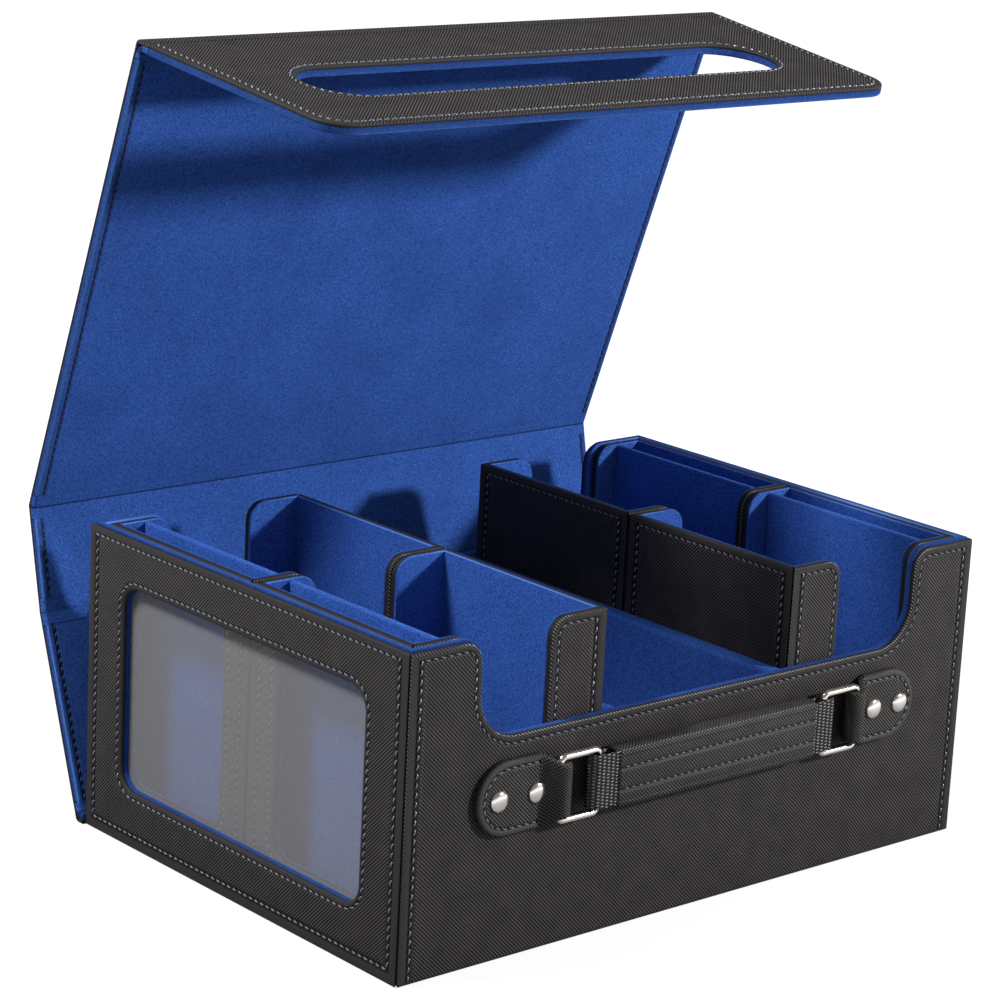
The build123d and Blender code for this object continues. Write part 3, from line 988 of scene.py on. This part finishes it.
FOLDS = (
    ("base", "base_hinge", "tub", math.pi / 2, "back_lower"),
    ("crease", "crease_hinge", "back_lower", cover_leans["back_lower"], "back_upper"),
    ("lid", "lid_hinge", "back_upper", cover_leans["back_upper"], "lid"),
    ("flap", "flap_hinge", "lid", cover_leans["lid"], "flap"),
)
tub_rear = box_mm("rear_wall_leather")[1].y
for name, joint, parent, lean_a, child in FOLDS:
    hinge = hinge_line(joint)
    before = hinge.x - tub_rear if parent == "tub" else FOLD_BEFORE
    lap = 0.0 if parent == "tub" else FOLD_LAP
    for layer, inner, depth, roll, foot, material, slot in (
            ("leather", False, FOLD_LEATHER, COVER_ROLL, COVER_FOOT, LEATHER, "black_leather"),
            ("suede", True, FOLD_LINING, LINING_ROLL, LINING_FOOT, SUEDE, "blue_suede")):
        radius = fold_height / 2 + (HAIRLINE if inner else -HAIRLINE)
        reaches = (before + lap, FOLD_AFTER + FOLD_LAP)
        stations = fold_stations(hinge, lean_a, cover_leans[child], radius, *reaches, inner)
        across = Vector((1, 0, 0)) if inner else Vector((-1, 0, 0))
        section = strap_section(half_cover, depth, roll, foot)
        # Painted shade along the bend of each fold.
        creased = range(FOLD_STRAIGHT + 1, FOLD_STRAIGHT + FOLD_BEND)
        tones = [FOLD_CREASE_SHADE if i in creased else 0.0 for i in range(len(stations))]
        skin = Skin()
        strap(skin, stations, across, [section] * len(stations), tones)
        made = skin.piece(
            f"{name}_fold_{layer}", material, None, slot, [] if inner else [f"{name}_fold"])
        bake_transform(made)

# Handle: tabs, rivets, webbing and grip
tub_front = box_mm("front_wall_leather")[0].y
ring_low, ring_high = box_mm("right_handle_ring")
tab_low, tab_high = box_mm("right_handle_tab")
loop_low, loop_high = box_mm("right_webbing_loop")
grip_low, grip_high = box_mm("grip_sleeve")
WIRE = 3.0
RIVET_RADIUS = 4.2
RIVET_HEIGHT = 1.8
RIVET_SIDES = 32
RIVET_PLACES = (-107.0, -88.4, 93.2, 108.4)
RIVET_PROFILE = ((1.0, 0.0), (1.0, 0.3), (0.95, 0.48), (0.82, 0.68), (0.62, 0.85), (0.36, 0.96), (0.1, 1.0))
TAB_THICKNESS = 3.0
TAB_SHOULDER = 8.0
TAB_BARREL = 4.5
TAB_CHAMFER = 0.8
TAB_FOLDED = 2.6
TAB_ROLL = 1.1
TAB_FOOT = 0.3
TAB_STEPS = 24
WEB_RIB_HEIGHT = 0.5
WEB_RIB_STEPS = 8
WEB_HIDDEN = 3.0
WEB_THICKNESS = 1.5
WEB_ROLL = 0.5
WEB_FOOT = 0.3
GRIP_ROUND = 2.6
GRIP_STEPS = 48
GRIP_STITCH = 4.35
GRIP_CHANNEL = 0.9
GRIP_SINK = 0.6
GRIP_CROWN = 0.5
GRIP_SEWN = 0.95
# Tone of the painted highlight along the grip's top edge
GRIP_TOP_HIGHLIGHT = 1.0
GRIP_END_DROP = 0.3
GRIP_ENDS = ((-1.0, 0.84), (-0.993, 0.95), (-0.98, 1.0), (0.98, 1.0), (0.993, 0.95), (1.0, 0.84))
handle_z = (grip_low.z + grip_high.z) / 2
outer_bar = ring_high.x - WIRE / 2
bar_off = tub_front - (ring_low.y + ring_high.y) / 2
tab_end = tab_high.x
tab_half = (tab_high.z - tab_low.z) / 2
band_half = (loop_high.z - loop_low.z) / 2
shoulder = outer_bar + TAB_SHOULDER


def handle_point(x, off, z, side):
    """A point of the handle: along the wall from its middle, off the wall and above its middle."""
    return Vector((side * x, tub_front - off, handle_z + z))


def add_tab(name, side):
    """A round-ended strap, riveted to the wall and folded round the ring's outer bar."""
    loop = []
    middle = tab_end - tab_half
    for i in range(TAB_STEPS + 1):
        turn = math.pi * (i / TAB_STEPS - 0.5)
        across = side * (middle + tab_half * math.cos(turn))
        loop.append(Vector((across, side * tab_half * math.sin(turn) + handle_z)))
    for end in (side, -side):
        loop.append(Vector((side * shoulder, end * tab_half + handle_z)))
    face = Face((0, -1, 0), -tub_front + TAB_THICKNESS, [loop])
    joint = cut_back(0.0)

    def rule(a, b):
        return joint if abs(a.x - b.x) < SAME_PLACE and abs(abs(a.x) - shoulder) < SAME_PLACE else UNHIGHLIGHTED

    skin = Skin()
    border = turned_edge(TAB_THICKNESS, LEATHER_ROLL, TAB_FOOT, pocket=False, stitch=TAB_STITCH)
    skin.panel(face, rule, border, flip=LONG_GRAIN)
    climb = bar_off + TAB_BARREL - TAB_THICKNESS
    stations = []
    halves = []
    for i in range(TAB_STEPS // 2):
        share = 2 * i / TAB_STEPS
        off = TAB_THICKNESS + climb * (3 * share ** 2 - 2 * share ** 3)
        slope = climb / TAB_SHOULDER * 6 * share * (1 - share)
        normal = Vector((side * slope, -1, 0)).normalized()
        stations.append((handle_point(shoulder - TAB_SHOULDER * share, off, 0, side), normal))
        halves.append(tab_half + (band_half - tab_half) * min(1.0, share / TAB_CHAMFER))
    for i in range(TAB_STEPS // 2 + 1):
        turn = math.pi / 2 + 2 * math.pi * i / TAB_STEPS
        ray = Vector((side * math.cos(turn), -math.sin(turn), 0))
        stations.append((handle_point(outer_bar, bar_off, 0, side) + ray * TAB_BARREL, ray))
        halves.append(band_half)
    sections = [strap_section(half, TAB_FOLDED, TAB_ROLL, TAB_FOOT) for half in halves]
    strap(skin, stations, Vector((0, 0, side)), sections)
    skin.piece(name + "_skin", STRAP_LEATHER, "tub", "black_leather", [name])
    sewing = Skin()
    sewing.seam(face, loop, rule, TAB_STITCH)
    sewing.piece(name + "_stitching", THREAD, "tub")


def add_rivets():
    """Domed rivet heads on both tabs."""
    skin = Skin()
    for x in RIVET_PLACES:
        rows = []
        for radius, height in RIVET_PROFILE:
            across = RIVET_RADIUS * radius
            centre = handle_point(x, TAB_THICKNESS + RIVET_HEIGHT * height, 0, 1)
            row = []
            for i in range(RIVET_SIDES):
                turn = 2 * math.pi * i / RIVET_SIDES
                ray = Vector((math.cos(turn), 0, math.sin(turn)))
                row.append(skin.add(centre + ray * across))
            rows.append(row)
        skin.tube(rows)
    skin.piece("handle_rivet_heads", NICKEL, "tub", "nickel", ["handle_rivets"])


def add_webbing(name, side):
    """A band with ribs across it, from the grip's end round the ring's inner bar and back."""
    eye = (loop_high.y - loop_low.y) / 2
    turn_at = loop_high.x - eye
    start = grip_high.x - WEB_HIDDEN
    straight = turn_at - start
    bend = math.pi * eye
    section = strap_section(band_half, WEB_THICKNESS, WEB_ROLL, WEB_FOOT)
    foot_top = WEB_FOOT - WEB_THICKNESS
    stations = []
    sections = []
    steps = round((2 * straight + bend) / WEB_PITCH) * WEB_RIB_STEPS
    for i in range(steps + 1):
        run = (2 * straight + bend) * i / steps
        if run < straight:
            spot = handle_point(start + run, bar_off + eye, 0, side)
            ray = Vector((0, -1, 0))
        elif run < straight + bend:
            turn = math.pi / 2 - (run - straight) / eye
            ray = Vector((side * math.cos(turn), -math.sin(turn), 0))
            spot = handle_point(turn_at, bar_off, 0, side) + ray * eye
        else:
            spot = handle_point(turn_at - (run - straight - bend), bar_off - eye, 0, side)
            ray = Vector((0, 1, 0))
        sink = WEB_RIB_HEIGHT * (1.0 - abs(math.sin(math.pi * run / WEB_PITCH)))
        stations.append((spot, ray))
        sections.append([(x, h - sink if h > foot_top else h) for x, h in section])
    skin = Skin()
    strap(skin, stations, Vector((0, 0, -side)), sections)
    skin.piece(name + "_band", WEBBING, "grip", "webbing", [name])


def add_grip():
    """A padded leather grip with two sewn lines along its front."""
    half_x = grip_high.x
    half_y = (grip_high.y - grip_low.y) / 2
    half_z = (grip_high.z - grip_low.z) / 2
    middle = Vector((0, (grip_low.y + grip_high.y) / 2, handle_z))
    flat = half_z - GRIP_ROUND
    section = []
    tones = []
    for quarter, (y_side, z_side) in enumerate(((1, 1), (-1, 1), (-1, -1), (1, -1))):
        for i in range(ARC_STEPS + 1):
            turn = math.pi / 2 * (quarter + i / ARC_STEPS)
            y = y_side * (half_y - GRIP_ROUND) + GRIP_ROUND * math.cos(turn)
            section.append(Vector((y, z_side * flat + GRIP_ROUND * math.sin(turn))))
            # Painted highlight along the grip's top edge.
            tones.append(GRIP_TOP_HIGHLIGHT if (quarter, i) == (1, ARC_STEPS // 2) else 0.0)
        if quarter == 1:
            for i in range(1, GRIP_STEPS):
                z = flat - 2 * flat * i / GRIP_STEPS
                nearest = min(abs(z - GRIP_STITCH), abs(z + GRIP_STITCH))
                channel = math.exp(-(nearest / GRIP_CHANNEL) ** 2)
                crown = GRIP_CROWN * (1.0 - (z / flat) ** 2)
                section.append(Vector((GRIP_SINK * channel - half_y - crown + GRIP_CROWN, z)))
                # Painted shade in the stitch channels.
                tones.append(-channel)
    around = [-run for run in run_lengths(section)]
    skin = Skin()
    rows = []
    for share, shrink in GRIP_ENDS:
        row = []
        for (y, z), run, tone in zip(section, around, tones):
            point = middle + Vector((half_x * share, y * shrink, z * (1 - (1 - shrink) * GRIP_END_DROP)))
            row.append(skin.add(point, (run, half_x * share), tone))
        rows.append(row)
    skin.tube(rows)
    made = skin.piece("grip_skin", STRAP_LEATHER, "grip", "black_leather", ["grip_sleeve"])
    sewing = Skin()
    for z in (-GRIP_STITCH, GRIP_STITCH):
        sunk = GRIP_SINK - half_y + GRIP_CROWN * (z / flat) ** 2
        ends = [middle + Vector((x, sunk, z)) for x in (-half_x * GRIP_SEWN, half_x * GRIP_SEWN)]
        sewing.stitches(ends, [Vector((0, -1, 0))] * 2, False)
    sewing.piece("grip_stitching", THREAD, "grip")


for label, side in (("left", -1), ("right", 1)):
    add_tab(f"{label}_handle_tab", side)
    add_webbing(f"{label}_webbing_loop", side)
add_rivets()
add_grip()

# Camera
CAMERA_PLACE = Vector((-0.85700, -0.94786, 0.47715))
CAMERA_DOWN = 0.25805
CAMERA_TURN = 0.72213
CAMERA_ROLL = 0.05131
CAMERA_LENS = 3.26172
level_ahead = Vector((math.sin(CAMERA_TURN), math.cos(CAMERA_TURN), 0))
ahead = level_ahead * math.cos(CAMERA_DOWN) - Vector((0, 0, 1)) * math.sin(CAMERA_DOWN)
right = Vector((math.cos(CAMERA_TURN), -math.sin(CAMERA_TURN), 0))
above = right.cross(ahead)
rolled_right = right * math.cos(CAMERA_ROLL) + above * math.sin(CAMERA_ROLL)
rolled_up = above * math.cos(CAMERA_ROLL) - right * math.sin(CAMERA_ROLL)
camera_data = bpy.data.cameras.new("camera")
camera = bpy.data.objects.new("camera", camera_data)
bpy.context.scene.collection.objects.link(camera)
camera_data.sensor_width = 36.0
camera_data.lens = CAMERA_LENS * camera_data.sensor_width
camera_data.clip_start = 0.05
camera_data.clip_end = 50.0
axes = Matrix((rolled_right, rolled_up, -ahead)).transposed()
camera.matrix_world = Matrix.Translation(CAMERA_PLACE) @ axes.to_4x4()
bpy.context.scene.camera = camera

# Floor: it glows white where it is seen, less so near the box, and keeps the box's shadow
FLOOR_REACH = 6.0
FLOOR_COLOUR = (0.22, 0.22, 0.218, 1)
FLOOR_GLOW_SPAN = (0.25, 0.7)
FLOOR_GLOW = (0.85, 1.0)
FLOOR_MIRRORED_SPAN = (0.2, 0.6)
FLOOR_MIRRORED = (0.15, 1.0)
floor_paint = Paint("floor")
floor_paint.set(Base_Color=FLOOR_COLOUR, Roughness=0.8, Specular_IOR_Level=0.1)
length = floor_paint.node("ShaderNodeVectorMath", Vector=floor_paint.place("Object"))
length.operation = "LENGTH"
away = length.outputs["Value"]
glow = floor_paint.spread(away, *FLOOR_GLOW_SPAN, *FLOOR_GLOW)
glow = floor_paint.math("MULTIPLY", glow, floor_paint.seen_directly())
# In mirrors the floor darkens near the box: painted shade standing in for the box's shadow on the floor.
dimmed = floor_paint.in_mirrors(floor_paint.spread(away, *FLOOR_MIRRORED_SPAN, *FLOOR_MIRRORED))
glow = floor_paint.math("MULTIPLY", glow, dimmed)
floor_paint.set(Emission_Color=(1, 1, 1, 1), Emission_Strength=glow)
floor_mesh = bpy.data.meshes.new("floor")
corners = [(x * FLOOR_REACH, y * FLOOR_REACH, 0) for x, y in ((-1, -1), (1, -1), (1, 1), (-1, 1))]
floor_mesh.from_pydata(corners, [], [(0, 1, 2, 3)])
floor_mesh.materials.append(floor_paint.material)
floor = bpy.data.objects.new("floor", floor_mesh)
bpy.context.scene.collection.objects.link(floor)

# Lamps and white surroundings, which mirrors see darker higher up
LAMP_AIM = Vector((0.0, 0.0, 0.12))


def soft_lamp(name, place, size, level):
    """A square lamp that alone would light a facing white card to the given level."""
    look = LAMP_AIM - Vector(place)
    data = bpy.data.lights.new(name, "AREA")
    data.size = size
    data.energy = level * math.pi ** 2 * look.length_squared
    lamp = bpy.data.objects.new(name, data)
    bpy.context.scene.collection.objects.link(lamp)
    lamp.location = place
    lamp.rotation_mode = "QUATERNION"
    lamp.rotation_quaternion = look.to_track_quat("-Z", "Y")


soft_lamp("key", (0.86, -1.08, 0.68), 0.12, 1.0)
soft_lamp("rim", (-0.99, 0.36, 1.45), 0.3, 1.0)
AMBIENT = 0.3
SKY_COLOUR = (1.0, 1.0, 0.985, 1)
SKY_SPAN = (0.05, 0.25)
SKY_MIRRORED = (1.0, 0.2)
world = bpy.data.worlds.new("surroundings")
world.use_nodes = True
bpy.context.scene.world = world
sky = Nodes(world.node_tree)
upward = sky.node("ShaderNodeSeparateXYZ", Vector=sky.place("Generated")).outputs[2]
dimmed = sky.in_mirrors(sky.spread(upward, *SKY_SPAN, *SKY_MIRRORED))
background = world.node_tree.nodes["Background"]
background.inputs["Color"].default_value = SKY_COLOUR
sky.feed(background.inputs["Strength"], sky.spread(sky.seen_directly(), 0.0, 1.0, AMBIENT, dimmed))
bpy.context.scene.view_settings.view_transform = "Standard"
